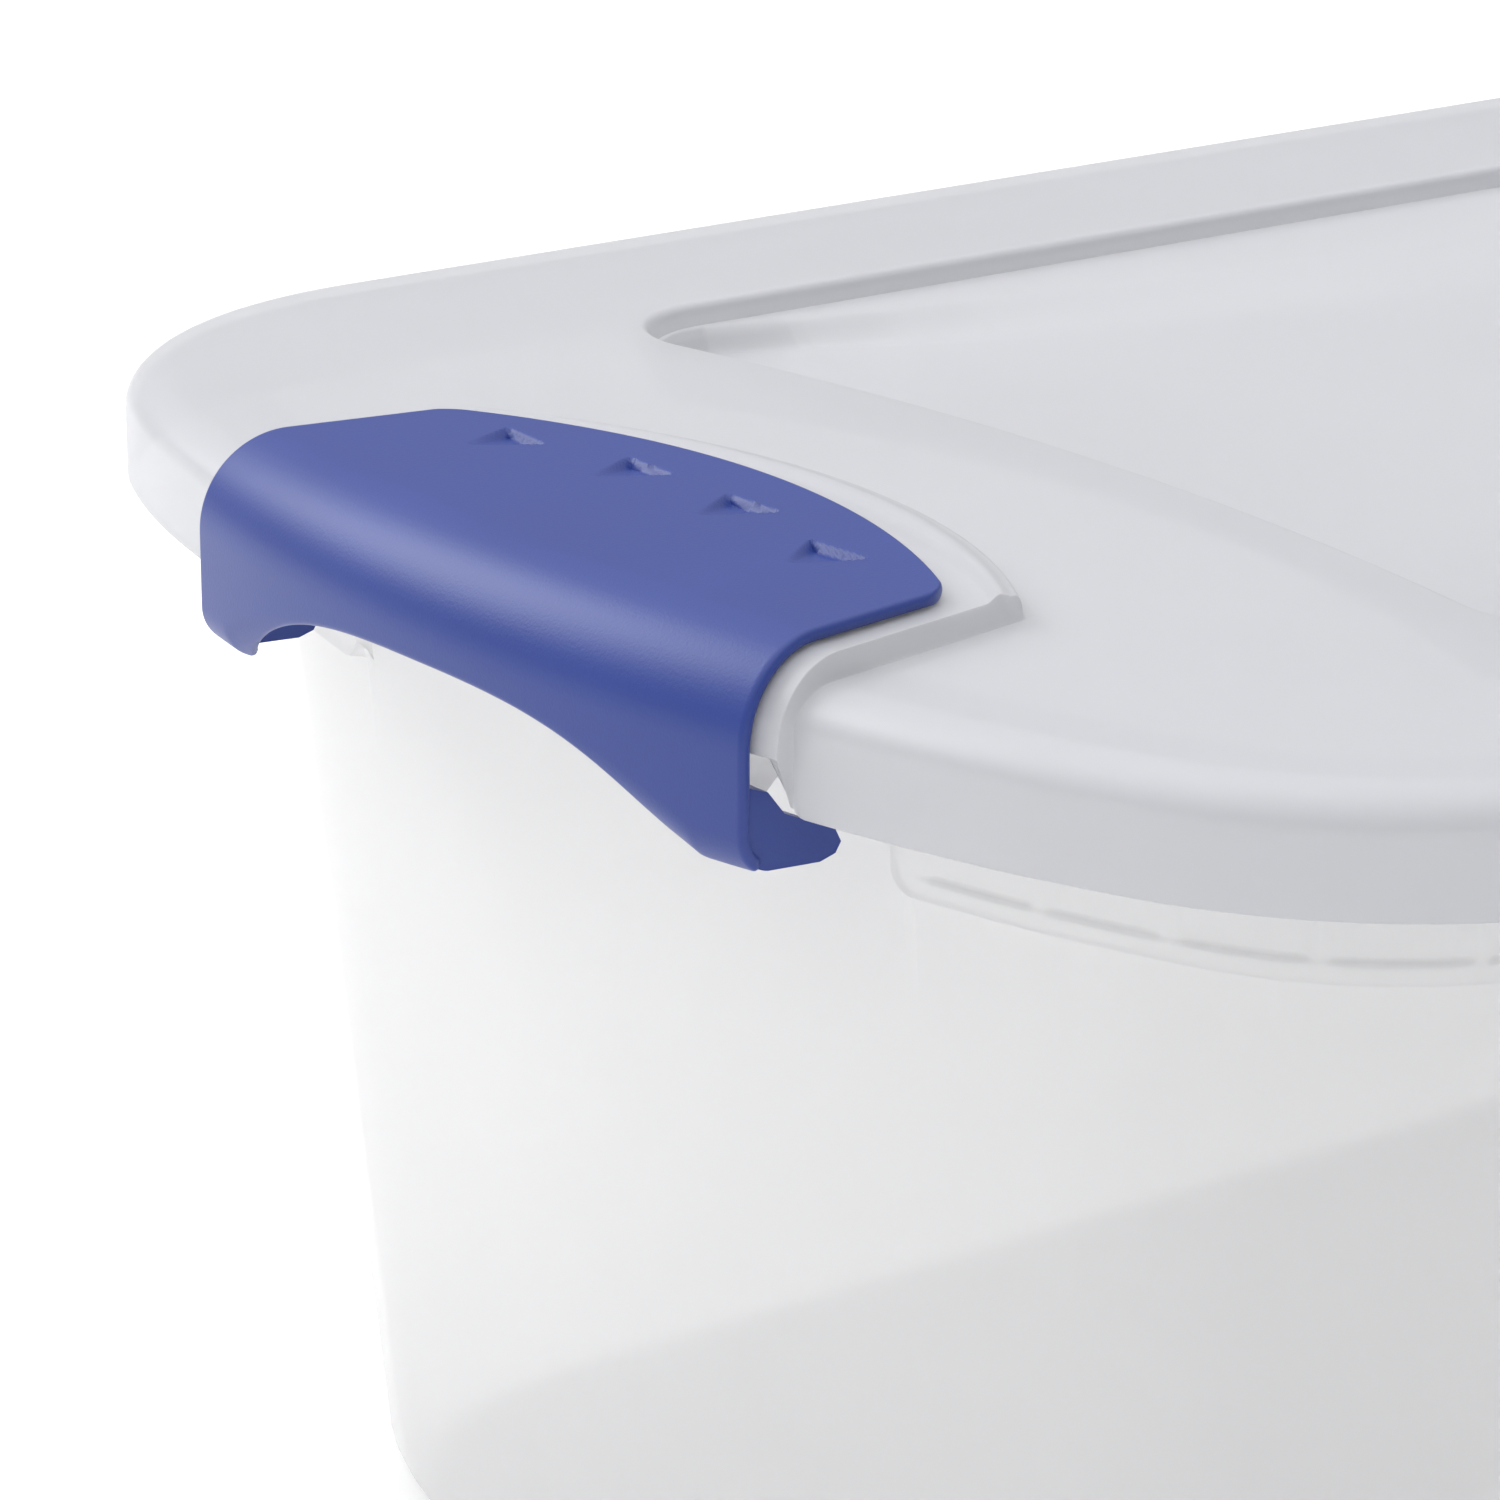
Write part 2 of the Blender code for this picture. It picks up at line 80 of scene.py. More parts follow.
class BoxSizes(bpy.types.PropertyGroup):
    """Sizes shared by the tub, the lid and the latches."""

    length: length_prop("Length", "Lid's length over the skirt", LID_HIGH.x - LID_LOW.x - 2 * SEAT_PROUD)
    width: length_prop("Width", "Lid's width over the skirt", LID_HIGH.y - LID_LOW.y)
    skirt_base: length_prop("Skirt height", "Skirt's lower edge above the floor", LID_LOW.z)
    wall: length_prop("Wall", "Thickness of the lid and the tub", 0.0018)
    latch_wall: length_prop("Latch wall", "Thickness of the latches", 0.0022)
    lid_height: length_prop("Lid height", "Skirt's lower edge to the flat rim", 0.0185)
    recess_depth: length_prop("Recess", "Depth of the lid's recess", 0.0090)
    window_depth: length_prop("Window", "Depth of the panels in the tub's collar", 0.0009)
    rib_pitch: length_prop("Rib pitch", "Spacing of the collar's ribs along the rim", 0.0215)


class BoxColours(bpy.types.PropertyGroup):
    """Colours of the plastics and the stage."""

    lid: colour_prop("Lid", "Frosted lid", "D8D9DE")
    tub: colour_prop("Tub", "Milky clear tub", "FBFBFC")
    latch: colour_prop("Latch", "Blue latches", "2A408E")
    floor: colour_prop("Floor", "Studio floor", "FBFBFB")


# ---- shape helpers ------------------------------------------------------------
END_RADIUS = 0.412
END_ANGLE = math.radians(13.9)
SHOULDER_RADIUS = 0.223
SHOULDER_ANGLE = math.radians(23.4)
SEAT_ANGLE = math.radians(10.8)
LATCH_ANGLE = math.radians(10.2)
COLLAR_CUT = math.radians(10.6)
TUB_INSET = 0.0255


def sizes():
    """The box's sizes, as the sidebar shows them."""
    return bpy.context.scene.box_sizes


def half_length():
    """Distance from mid length to the skirt's end."""
    return sizes().length / 2


def ease(x, low, high):
    """Smooth step from 0 at low to 1 at high."""
    t = np.clip((x - low) / (high - low), 0, 1)
    return t * t * (3 - 2 * t)


def columns():
    """Normal angle of each column of a quarter, from an end's middle, and its share of the straight side.

    Columns crowd together at the side of the latch seat and at each rib of the straight side.
    """
    turns = [(0, 9.0, 10), (9.0, 10.5, 8), (10.5, 10.74, 8), (10.74, 10.86, 10), (10.86, 11.3, 12)]
    turns += [(11.3, 13.9, 9), (13.9, 23.4, 22), (23.4, 90, 44)]
    angles = np.concatenate([np.linspace(a, b, n, endpoint=False) for a, b, n in turns] + [[90.0]])
    pitch = sizes().rib_pitch
    side = half_length() - plan_corner_end()
    cells = np.arange(int(side / pitch) + 1)[:, None] * pitch
    rib_sides = np.array([0.0006, 0.0014, pitch - 0.0026, pitch - 0.0018])
    share = (cells + rib_sides).ravel() / side
    share = np.append(share[share < 0.999], 1.0)
    angle = np.radians(np.concatenate([angles, np.full(len(share), 90.0)]))
    return angle, np.concatenate([np.zeros(len(angles)), share])


def plan_corner_end():
    """Where the straight side starts, behind the skirt's end, at the tub wall's inset."""
    r1, r2 = END_RADIUS - TUB_INSET, SHOULDER_RADIUS - TUB_INSET
    sa, sb = math.sin(END_ANGLE), math.sin(SHOULDER_ANGLE)
    r3 = (sizes().width / 2 - TUB_INSET - r1 * sa - r2 * (sb - sa)) / (1 - sb)
    ca, cb = math.cos(END_ANGLE), math.cos(SHOULDER_ANGLE)
    return TUB_INSET + r1 * (1 - ca) + r2 * (ca - cb) + r3 * cb


def plan(inset, corner=None):
    """Quarter outline (u, v) at an inset: three tangent arcs, then the straight side.

    Each arc's point at a normal angle a is its start plus radius times the change of (sin a, -cos a).
    """
    a, share = columns()
    inset = np.atleast_1d(np.asarray(inset, float))[:, None]
    half = sizes().width / 2 - inset
    r1 = END_RADIUS - inset
    sa, sb = math.sin(END_ANGLE), math.sin(SHOULDER_ANGLE)
    if corner is None:
        r2 = SHOULDER_RADIUS - inset
        r3 = (half - r1 * sa - r2 * (sb - sa)) / (1 - sb)
    else:
        r3 = np.atleast_1d(np.asarray(corner, float))[:, None]
        r2 = (half - r3 * (1 - sb) - r1 * sa) / (sb - sa)
    a1 = np.minimum(a, END_ANGLE)
    a2 = np.clip(a, END_ANGLE, SHOULDER_ANGLE)
    a3 = np.maximum(a, SHOULDER_ANGLE)
    u = r1 * np.sin(a1) + r2 * (np.sin(a2) - sa) + r3 * (np.sin(a3) - sb)
    v = inset + r1 * (1 - np.cos(a1)) + r2 * (math.cos(END_ANGLE) - np.cos(a2))
    v = v + r3 * (math.cos(SHOULDER_ANGLE) - np.cos(a3))
    return u, v + (half_length() - v) * share


def inward(inset):
    """Quarter points at insets that may differ from column to column, along the outline's own normals."""
    a, _ = columns()
    u, v = plan(0.0)
    return u - inset * np.sin(a), v + inset * np.cos(a)


def whole(u, v, height):
    """Mirrors a quarter grid about both middle planes into a closed band of columns."""
    x = v - half_length()
    y = -u
    z = np.broadcast_to(sizes().skirt_base + height, x.shape)
    quarters = [(x, y, 1), (-x, y, -1), (-x, -y, 1), (x, -y, -1)]
    bands = [np.stack([px, py, z], -1)[:, ::step][:, :-1] for px, py, step in quarters]
    return np.concatenate(bands, 1)


def put_mesh(name, points, faces, material, body, *nodes, smooth_angle=40):
    """Makes one object at the origin from arrays, facing outwards, riding on its CAD body."""
    mesh = bpy.data.meshes.new(name)
    mesh.from_pydata(points.reshape(-1, 3).tolist(), [], faces)
    bm = bmesh.new()
    bm.from_mesh(mesh)
    bmesh.ops.remove_doubles(bm, verts=bm.verts, dist=1e-7)
    bmesh.ops.recalc_face_normals(bm, faces=bm.faces)
    bm.to_mesh(mesh)
    bm.free()
    mesh.shade_smooth()
    mesh.set_sharp_from_angle(angle=math.radians(smooth_angle))
    mesh.materials.append(material)
    obj = bpy.data.objects.new(name, mesh)
    bpy.context.scene.collection.objects.link(obj)
    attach(obj, body)
    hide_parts(*nodes)
    return obj


def grid_faces(rows, cols, start=0, wrap=True):
    """Quads of a grid stored row by row, its columns joined round when wrap is set."""
    r = np.arange(rows - 1)[:, None]
    c = np.arange(cols if wrap else cols - 1)[None, :]
    d = (c + 1) % cols
    quads = np.stack([r * cols + c, r * cols + d, (r + 1) * cols + d, (r + 1) * cols + c], -1)
    return (quads.reshape(-1, 4) + start).tolist()


def pole_faces(row_start, cols, pole):
    """Triangles from one closed row of a grid to a single point."""
    c = np.arange(cols)
    fans = np.stack([row_start + c, row_start + (c + 1) % cols, np.full(cols, pole)], -1)
    return fans.tolist()


def shell(band):
    """Points and faces of a closed band whose first and last rows each close on a pole at their middle."""
    rows, cols = band.shape[:2]
    poles = np.stack([band[0].mean(0), band[-1].mean(0)])
    faces = grid_faces(rows, cols)
    faces += pole_faces(0, cols, rows * cols)
    faces += pole_faces((rows - 1) * cols, cols, rows * cols + 1)
    return np.concatenate([band.reshape(-1, 3), poles]), faces


def prism(outline, low, high):
    """A closed prism: an outline of (v, height) points carried across from one u to another."""
    outline = np.asarray(outline, float)
    n = len(outline)
    ends = [np.column_stack([np.full(n, u), outline]) for u in (low, high)]
    faces = grid_faces(2, n) + [list(range(n)), list(range(n, 2 * n))]
    return np.concatenate(ends), faces


def end_world(points, side):
    """World points from (u, v, height) at the end on this side: -1 is the -X end."""
    u, v, height = points[..., 0], points[..., 1], points[..., 2]
    return np.stack([side * (half_length() - v), side * u, sizes().skirt_base + height], -1)


def joined(parts):
    """Several (points, faces) bodies as one."""
    points, faces, start = [], [], 0
    for p, f in parts:
        p = np.asarray(p).reshape(-1, 3)
        points.append(p)
        faces += [[i + start for i in face] for face in f]
        start += len(p)
    return np.concatenate(points), faces


def arc(ci, ch, ri, rh, start, stop, n):
    """Points (inset, height) on an ellipse's arc, with angles counted from the outward side, upwards."""
    a = np.radians(np.linspace(start, stop, n))
    return np.column_stack([ci - ri * np.cos(a), ch + rh * np.sin(a)])


def line(p, q, n):
    """n points (inset, height) evenly spaced from p to q."""
    t = np.linspace(0, 1, n)[:, None]
    return np.asarray(p) * (1 - t) + np.asarray(q) * t


# ---- lid ------------------------------------------------------------------------
SKIRT_STRAIGHT = 0.0120
ROUND_RUN = 0.0085
SEAT_FOOT = 0.0090
SEAT_BEND = 0.0130
SEAT_BACK = 0.076
SEAT_BACK_RADIUS = 0.130
EDGE = 0.0004
NOTCH_ROUND = 0.0028
NOTCH_ROUND_ANGLE = math.radians(0.40)
SEAT_SIDE_HALF = math.radians(0.045)    # half the width of the seat's side, as an angle
SEAT_SIDE_WALL = math.radians(0.25)     # the side's thickness, as an angle
SEAT_SOFT = 0.0020                      # rounding of the seat's back edge
SEAT_FILLET = 0.0005
BACK_ARC_ANGLE = math.radians(11.7)     # beyond this the back edge's arc is held
BACK_FADE_START = math.radians(12.2)
BACK_FADE_END = math.radians(40)
PLAIN_BACK = 0.030                      # width of the rim's outer rows away from the seat
BEAD_HEIGHT = 0.0009
BEAD_WIDTH = 0.0065
BEAD_BACK = 0.0085                      # bead's front, ahead of the seat's back edge
RECESS_END = 0.125                      # recess edge behind the skirt's end, on the axis
RECESS_BOW = 0.545
RECESS_SIDE = 0.0567                    # recess edge in from the long sides
RECESS_CORNER = 0.020
RECESS_LIP = 0.0016                     # rounding of the recess's edge
RECESS_DRAFT = 0.0008
LEDGE_DROP = 0.0040
LEDGE_FALL = 0.0010
LEDGE_SIDE_BOW = 0.026
LEDGE_END_BOW = 0.006
FLOOR_SIDE_BOW = 0.0556
FLOOR_END_BOW = 0.010


def back_edge(theta, back, radius):
    """Inset where a round back edge, centred on the end's axis, crosses this angle."""
    d = END_RADIUS - back + radius
    return END_RADIUS - d * np.cos(theta) + np.sqrt(radius ** 2 - (d * np.sin(theta)) ** 2)


def rim_section(wall, drop):
    """Skirt and rounding of the lid as (inset, height), drawn in by wall and lowered by drop."""
    h = sizes().lid_height
    edge = arc(wall + EDGE, EDGE, EDGE, EDGE, -90, 0, 4) if drop == 0 else line((wall, 0), (wall, EDGE), 4)
    skirt = line((wall, EDGE), (wall, SKIRT_STRAIGHT), 6)[1:]
    curve = arc(ROUND_RUN, SKIRT_STRAIGHT, ROUND_RUN - wall, h - drop - SKIRT_STRAIGHT, 0, 90, 14)[1:]
    return np.concatenate([edge, skirt, curve])


def seat_front(wall):
    """Front and bend of the latch seat, sampled like the rim's section."""
    ci, ch = SEAT_BEND - SEAT_PROUD, SEAT_TOP - SEAT_BEND
    r = SEAT_BEND - wall
    front = ci - r
    edge = arc(front + EDGE, SEAT_FOOT + EDGE, EDGE, EDGE, -90, 0, 4)
    if wall:
        edge = line((front, SEAT_FOOT), (front, SEAT_FOOT + EDGE), 4)
    rise = line((front, SEAT_FOOT + EDGE), (front, ch), 6)[1:]
    return np.concatenate([edge, rise, arc(ci, ch, r, r, 0, 90, 14)[1:]])


def recess_edge(step_in, side_bow=0.0, end_bow=0.0):
    """Quarter outline of the lid's recess, offset by step_in, its long side bowed in by side_bow."""
    a, share = columns()
    radius = RECESS_BOW + step_in
    corner = RECESS_CORNER - step_in
    half = sizes().width / 2 - RECESS_SIDE - step_in
    apex = RECESS_END + step_in
    u_c = (half - corner) / (1 + corner / radius)
    tilt = math.asin(u_c / radius)
    along = np.clip(np.sin(np.minimum(a, SHOULDER_ANGLE)) / math.sin(SHOULDER_ANGLE), 0, 1)
    b = tilt * along
    u = radius * np.sin(b)
    v = apex - radius * (1 - np.cos(b)) + end_bow * (1 - along ** 2)
    turn = np.clip((a - SHOULDER_ANGLE) / (math.pi / 2 - SHOULDER_ANGLE), 0, 1)
    c = -tilt + (math.pi / 2 + tilt) * turn
    u = u + corner * (np.sin(c) + math.sin(tilt))
    v = v + corner * (math.cos(tilt) - np.cos(c))
    v = v + (half_length() - v) * share
    u = u - side_bow * (1 - (1 - share) ** 2)
    return u, v


def rim_rows(wall, drop):
    """(inset, height) rows from the skirt's edge, over the rim or the seat, to just behind the seat."""
    a, _ = columns()
    edge = SEAT_ANGLE - (SEAT_SIDE_WALL if wall else 0.0)
    seat = 1 - ease(a, edge - SEAT_SIDE_HALF, edge + SEAT_SIDE_HALF)
    mix = seat[None, :, None]
    near = rim_section(wall, drop)[:, None, :] * (1 - mix) + seat_front(wall)[:, None, :] * mix
    # the skirt's lower corner beside the seat is rounded
    turn = np.clip((a - SEAT_ANGLE) / NOTCH_ROUND_ANGLE, 0, 1)
    foot = NOTCH_ROUND * (1 - np.sqrt(1 - (1 - turn) ** 2)) * (1 - seat)
    near[..., 1] = np.maximum(near[..., 1], foot[None, :])
    back = back_edge(np.minimum(a, BACK_ARC_ANGLE), SEAT_BACK, SEAT_BACK_RADIUS) - wall
    fade = ease(a, BACK_FADE_START, BACK_FADE_END)
    back = back * (1 - fade) + PLAIN_BACK * fade
    start = near[-1, :, 0]
    flat = sizes().lid_height - drop
    top = SEAT_TOP - drop
    share = np.concatenate([np.linspace(0, 0.70, 6)[1:], np.linspace(0.70, 1.0, 18)[1:]])[:, None]
    i_top = start + (back - SEAT_SOFT - start) * share
    bead = BEAD_HEIGHT * np.sin(np.pi * np.clip((i_top - back + BEAD_BACK) / BEAD_WIDTH, 0, 1)) ** 2
    h_top = flat + (top + bead - flat) * seat
    fall = np.radians(np.linspace(0, 90, 9)[1:])[:, None]
    i_fall = back - SEAT_SOFT + SEAT_SOFT * np.sin(fall)
    h_fall = flat + (top - flat) * seat - (top - flat - SEAT_FILLET) * seat * (1 - np.cos(fall))
    i_foot = back + np.array([[0.0003], [0.0010], [0.003], [0.008]])
    h_foot = flat + SEAT_FILLET * seat * np.array([[0.3], [0.0], [0.0], [0.0]])
    inset = np.concatenate([near[..., 0], i_top, i_fall, i_foot])
    return inset, np.concatenate([near[..., 1], h_top, h_fall, h_foot])


def recess_steps(wall):
    """(step in, height over the rim, side bow, end bow) from the recess's soft edge to its floor."""
    depth = sizes().recess_depth
    lip = RECESS_LIP
    ledge = LEDGE_DROP + LEDGE_FALL
    steps = []
    for t in np.radians(np.linspace(0, 90, 7)):
        steps.append((lip * math.sin(t) - lip, lip * math.cos(t) - lip, 0.0, 0.0))
    for k in (0.35, 0.7, 1.0):
        steps.append((RECESS_DRAFT * k, -lip - (LEDGE_DROP - lip) * k, 0.0, 0.0))
    for k in (0.04, 0.12, 0.4, 0.7, 0.92, 1.0):
        height = -LEDGE_DROP - LEDGE_FALL * k ** 3
        steps.append((0.0010 + RECESS_DRAFT * k, height, LEDGE_SIDE_BOW * k, LEDGE_END_BOW * k))
    for k in (0.08, 0.22, 0.4, 0.6, 0.8, 0.93, 1.0):
        height = -ledge - (depth - ledge) * math.sin(math.pi / 2 * k)
        side_bow = LEDGE_SIDE_BOW + (FLOOR_SIDE_BOW - LEDGE_SIDE_BOW) * k
        end_bow = LEDGE_END_BOW + (FLOOR_END_BOW - LEDGE_END_BOW) * k
        steps.append((0.0020 + 0.0010 * k, height, side_bow, end_bow))
    return [(step_in - wall, height, side, end) for step_in, height, side, end in steps]


def lid_side(wall, drop):
    """Rows of the lid's outer face, or of its inner face set in by wall and lowered by drop."""
    inset, height = rim_rows(wall, drop)
    u, v = inward(inset)
    flat = sizes().lid_height - drop
    steps = recess_steps(wall)
    ring = [recess_edge(step_in, side, end) for step_in, _, side, end in steps]
    rows = [(u, v, height * np.ones_like(u))]

    def add_row(row_u, row_v, row_height):
        rows.append((row_u[None], row_v[None], np.full((1, len(row_u)), row_height)))

    for f in (0.2, 0.5, 0.8):
        add_row(u[-1] * (1 - f) + ring[0][0] * f, v[-1] * (1 - f) + ring[0][1] * f, flat)
    for (ring_u, ring_v), step in zip(ring, steps):
        add_row(ring_u, ring_v, flat + step[1])
    last_u, last_v = ring[-1]
    for f in (0.3, 0.7, 0.98):
        add_row(last_u * (1 - f), last_v + (half_length() - last_v) * f, flat - sizes().recess_depth)
    return whole(*[np.concatenate(part) for part in zip(*rows)])


def make_lid(material):
    """The lid: a closed shell, from the recess's middle over the rim and back along the underside."""
    wall = sizes().wall
    under = lid_side(wall, wall)
    keep = np.append(np.arange(0, len(under) - 1, 2), len(under) - 1)
    band = np.concatenate([lid_side(0.0, 0.0)[::-1], under[keep]])
    points, faces = shell(band)
    return put_mesh("lid_surface", points, faces, material, "lid", "lid", smooth_angle=50)


# ---- tub ------------------------------------------------------------------------
TUB_DRAFT = 0.0916
TUB_CORNER = 0.0505
COLLAR_DROP = 0.0175
COLLAR_PROUD = 0.0030
COLLAR_SOFT = 0.0004                    # rounding of the collar's lower edge
COLLAR_CUT_HALF = math.radians(0.05)    # half the width of the collar's cut end, as an angle
COLLAR_END_ANGLE = math.radians(0.70)
COLLAR_END_RISE = 0.0055                # rounding of the collar's lower corner at its cut end
COLLAR_END_BAND = 0.0080                # height over which that rounding fades
WINDOW_START = 0.0050                   # first window's distance from the collar's cut end
WINDOW_FRONT = 0.0005
WINDOW_REAR = 0.0027
WINDOW_SLOPE = 0.0010
WINDOW_LOW = 0.0032                     # plain border under the windows
WINDOW_HIGH = 0.0240
RIM_TOP = 0.0163
RIM_INNER = 0.0150
RIM_UNDER = 0.0110
RIM_FLAT = 0.0078                       # inset at which the rim turns flat
RIM_SLOPE = 0.0055
RIM_SLOPE_DROP = 0.0009
RIM_EDGE = 0.0033
RIM_EDGE_TOP = 0.0140
RIM_SOFT = 0.0004
RIM_SOFT_IN = 0.0003
MOUTH_SOFT = 0.0014                     # rounding of the tub's inner top edge
BASE_RADIUS = 0.010


def collar_windows(height):
    """Depth of the collar's panels: 1 inside a window, 0 on the ribs and on the border round them.

    height is counted from the collar's lower edge. Windows repeat along the outline at the rib pitch.
    """
    a, _ = columns()
    u, v = plan(TUB_INSET)
    step = np.hypot(np.diff(u[0]), np.diff(v[0]))
    along = np.concatenate([[0], np.cumsum(step)])
    start = np.interp(COLLAR_CUT, a[: np.argmax(a)], along[: np.argmax(a)])
    straight = along[np.argmax(a)]
    pitch = sizes().rib_pitch
    run = (along - straight) % pitch
    rear = pitch - WINDOW_REAR
    inside = ease(run, WINDOW_FRONT, WINDOW_FRONT + WINDOW_SLOPE) * (1 - ease(run, rear, rear + WINDOW_SLOPE))
    inside = inside * (along > start + WINDOW_START)
    foot = ease(height, WINDOW_LOW, WINDOW_LOW + WINDOW_SLOPE)
    return inside * foot * (1 - ease(height, WINDOW_HIGH, WINDOW_HIGH + 2 * WINDOW_SLOPE))


def tub_rows():
    """Rows of the tub, outside then inside, as (inset, height, corner radius, corner share, collar share).

    A corner share of 0 follows the lid's own corner at that inset, and 1 has the corner radius given.
    """
    wall = sizes().wall
    foot = BASE_RADIUS - sizes().skirt_base
    base = TUB_INSET + TUB_DRAFT * (-COLLAR_DROP - foot)
    collar = TUB_INSET - COLLAR_PROUD
    inner = TUB_CORNER - wall
    under = RIM_TOP - wall
    edge_under = RIM_EDGE_TOP - wall
    mouth = TUB_INSET + wall - TUB_DRAFT * (RIM_TOP + COLLAR_DROP)

    def base_curve(start, end, inset, radius, corner):
        arc_angles = np.radians(np.linspace(start, end, 8))
        points = [(inset + radius * (1 - math.sin(t)), foot - radius * math.cos(t)) for t in arc_angles]
        return [(*point, corner, 1, 0) for point in points]

    def drafted(inset, height):
        return inset - TUB_DRAFT * (height + COLLAR_DROP)

    rows = base_curve(0, 85, base, BASE_RADIUS, TUB_CORNER)
    for h in np.linspace(foot, -COLLAR_DROP, 10):
        rows.append((drafted(TUB_INSET, h), h, TUB_CORNER, 1, 0))
    outside = [(TUB_INSET - COLLAR_PROUD * k, COLLAR_SOFT * k ** 3 - COLLAR_DROP, 1) for k in (0.4, 0.8, 1.0)]
    outside += [(collar, h, 1) for h in np.linspace(-0.0167, -0.0120, 12)]
    outside += [(collar, h, 1) for h in np.linspace(-0.0112, under - 0.001, 7)]
    outside += [(collar - 0.0010, under, 0.6), (RIM_UNDER, under, 0), (RIM_FLAT, under, 0)]
    outside += [(RIM_SLOPE, under - RIM_SLOPE_DROP, 0), (RIM_EDGE + RIM_SOFT_IN, edge_under, 0)]
    outside += [(RIM_EDGE, edge_under + RIM_SOFT, 0), (RIM_EDGE, RIM_EDGE_TOP - RIM_SOFT, 0)]
    outside += [(RIM_EDGE + RIM_SOFT_IN, RIM_EDGE_TOP, 0), (RIM_SLOPE, RIM_TOP - RIM_SLOPE_DROP, 0)]
    outside += [(RIM_FLAT, RIM_TOP, 0), (RIM_INNER, RIM_TOP, 0)]
    outside += [(mouth - MOUTH_SOFT, RIM_TOP, 0), (mouth - RIM_SOFT, RIM_TOP - RIM_SOFT, 0)]
    rows += [(inset, height, TUB_CORNER, 0, share) for inset, height, share in outside]
    for h in np.linspace(RIM_TOP - MOUTH_SOFT, -COLLAR_DROP, 6):
        rows.append((drafted(TUB_INSET + wall, h), h, inner, (RIM_TOP - h) / (RIM_TOP + COLLAR_DROP), 0))
    for h in np.linspace(-COLLAR_DROP, foot, 9)[1:]:
        rows.append((drafted(TUB_INSET + wall, h), h, inner, 1, 0))
    return rows + base_curve(85, 0, base + wall, BASE_RADIUS - wall, inner)


def towards_middle(row, share):
    """A row of (u, v, height) drawn in towards the middle of the box by a share."""
    u, v, height = row
    return u * (1 - share), v + (half_length() - v) * share, height


def tub_shell():
    """The tub's grid, from the middle of the base, up the outside, over the rim and down inside.

    Collar rows are pushed out to the wall where the latch's cut is, and in at each window. Near the cut the
    collar's lower corner is lifted along a quarter circle.
    """
    a, _ = columns()
    gap = 1 - ease(a, COLLAR_CUT - COLLAR_CUT_HALF, COLLAR_CUT + COLLAR_CUT_HALF)
    near_end = 1 - np.clip((a - COLLAR_CUT) / COLLAR_END_ANGLE, 0, 1)
    lift = COLLAR_END_RISE * (1 - np.sqrt(np.clip(1 - near_end ** 2, 0, 1))) * (1 - gap)
    rows = []
    for inset, height, corner, corner_share, share in tub_rows():
        wide_u, wide_v = plan(inset)
        tight_u, tight_v = plan(inset, corner)
        u = wide_u[0] * (1 - corner_share) + tight_u[0] * corner_share
        v = wide_v[0] * (1 - corner_share) + tight_v[0] * corner_share
        push = np.zeros(len(a))
        rise = np.zeros(len(a))
        if share:
            above = height + COLLAR_DROP
            plain = TUB_INSET - TUB_DRAFT * above
            push = -gap * max(0.0, plain - inset) - share * sizes().window_depth * collar_windows(above)
            rise = lift * max(0.0, 1 - above / COLLAR_END_BAND)
        rows.append((u + push * np.sin(a), v - push * np.cos(a), height + rise))
    shares = (0.97, 0.8, 0.55, 0.3, 0.12)
    bottom = [towards_middle(rows[0], share) for share in shares]
    inside = [towards_middle(rows[-1], share) for share in shares[::-1]]
    return shell(whole(*[np.array(part) for part in zip(*(bottom + rows + inside))]))


def make_tub(material):
    """The tub's shell with its four hangers."""
    bodies = [tub_shell()] + [hanger(hand, side) for side in (-1, 1) for hand in (-1, 1)]
    points, faces = joined(bodies)
    return put_mesh("tub_surface", points, faces, material, "tub", "tub", smooth_angle=50)


# ---- latches ----------------------------------------------------------------------
LATCH_BACK = 0.060
LATCH_BACK_RADIUS = 0.145
LATCH_GAP_END = 0.00045     # clearance over the seat at the latch's ends
LATCH_GAP_CROWN = 0.00085   # extra clearance on the axis
LATCH_NOSE = 0.0010         # rounding of the latch's edges
BACK_CORNER = 0.0045        # rounding of the two back corners
BACK_CORNER_START = 0.94    # share of the half-angle at which it starts
LOW_CORNER_START = 0.93
LOW_CORNER_TURN = 30        # degrees of curl lost at the lower corners
LATCH_END = (END_RADIUS + SEAT_PROUD) * math.sin(LATCH_ANGLE)
PIVOT_INSET = 0.0058
PIVOT_DROP = 0.0030
PIN_RADIUS = 0.0015
LIP_ARCH = 0.0085
LIP_RADIUS = 0.0090
LIP_RADIUS_END = 0.0066
LIP_CURL = 12               # degrees of curl on the axis
LIP_CURL_END = 82
EAR_LAP = 0.0006            # how far the ear sinks into the front face
EAR_TRIM = 0.0008           # ear's outer face in from the latch's end
EAR_TOE = 0.0138            # reach of the ear's rounded toe behind the hinge axis
EAR_TOE_DROP = 0.0042
RIM_SHOULDER = 0.0055       # hanger's top, behind the rim's edge
HANGER_WEB = 0.0080         # depth of the hanger's root along the wall
HANGER_NECK = 0.0095        # hanger's neck behind the hinge axis, and its drop
EAR_INNER = LATCH_END - 0.0056
HANGER_OUTER = EAR_INNER - 0.0005
HANGER_INNER = HANGER_OUTER - 0.0048
KNUCKLE_RADIUS = 0.0029
GRIP_SPREAD = math.radians(6.4)
GRIP_BACK = 0.0175
GRIP_SWEEP = 0.0075
GRIP_MARKS = 4
GRIP_DEPTH = 0.0017
GRIP_HALF_LENGTH = 0.0060
GRIP_HALF_WIDTH = 0.0068


def bow(u):
    """How far the skirt's end has drawn back at this distance from the axis."""
    return END_RADIUS - math.sqrt(END_RADIUS ** 2 - u ** 2)


